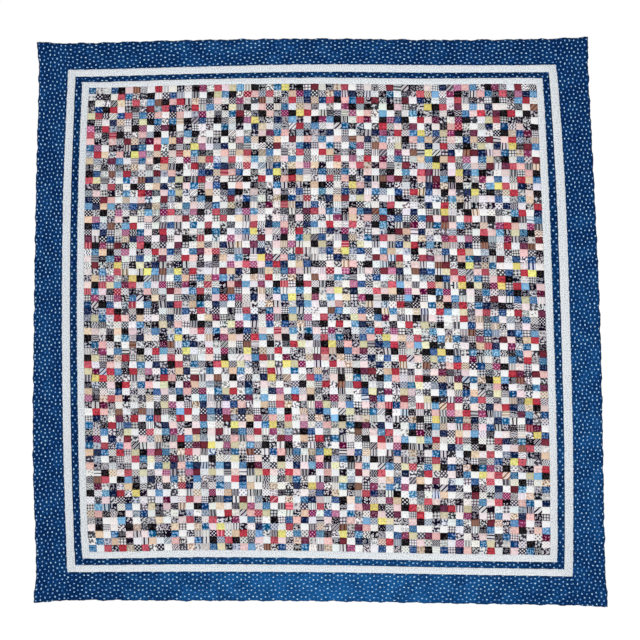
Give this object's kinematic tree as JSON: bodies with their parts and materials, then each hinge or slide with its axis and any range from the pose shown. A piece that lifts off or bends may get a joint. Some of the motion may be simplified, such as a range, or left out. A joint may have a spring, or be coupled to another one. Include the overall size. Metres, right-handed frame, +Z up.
{
  "type": "patchwork quilt",
  "caption": "Bed quilt pieced from rows of small square print patches, framed by white and blue print borders, lying flat.",
  "frame": {"origin": "middle of the quilt's bounding box, on its flat underside", "axes": "+Z up out of the pieced face, +Y towards the quilt's narrower end, +X to the right of that, seen from above"},
  "size_m": [2.1915, 2.1736, 0.0045],
  "materials": {
    "patch_prints": "matt printed cotton in many scrap prints",
    "white_print": "matt white cotton with a very fine pale grey fleck",
    "blue_print": "matt dark blue cotton with small pale motifs"
  },
  "bodies": {
    "root": {"patchwork_panel": "patch_prints", "wide_blue_top": "blue_print", "wide_blue_bottom": "blue_print", "wide_blue_left": "blue_print", "wide_blue_right": "blue_print", "outer_white_top": "white_print", "outer_white_bottom": "white_print", "outer_white_left": "white_print", "outer_white_right": "white_print", "narrow_navy_top": "blue_print", "narrow_navy_bottom": "blue_print", "narrow_navy_left": "blue_print", "narrow_navy_right": "blue_print", "inner_white_top": "white_print", "inner_white_bottom": "white_print", "inner_white_left": "white_print", "inner_white_right": "white_print"}
  },
  "joints": []
}
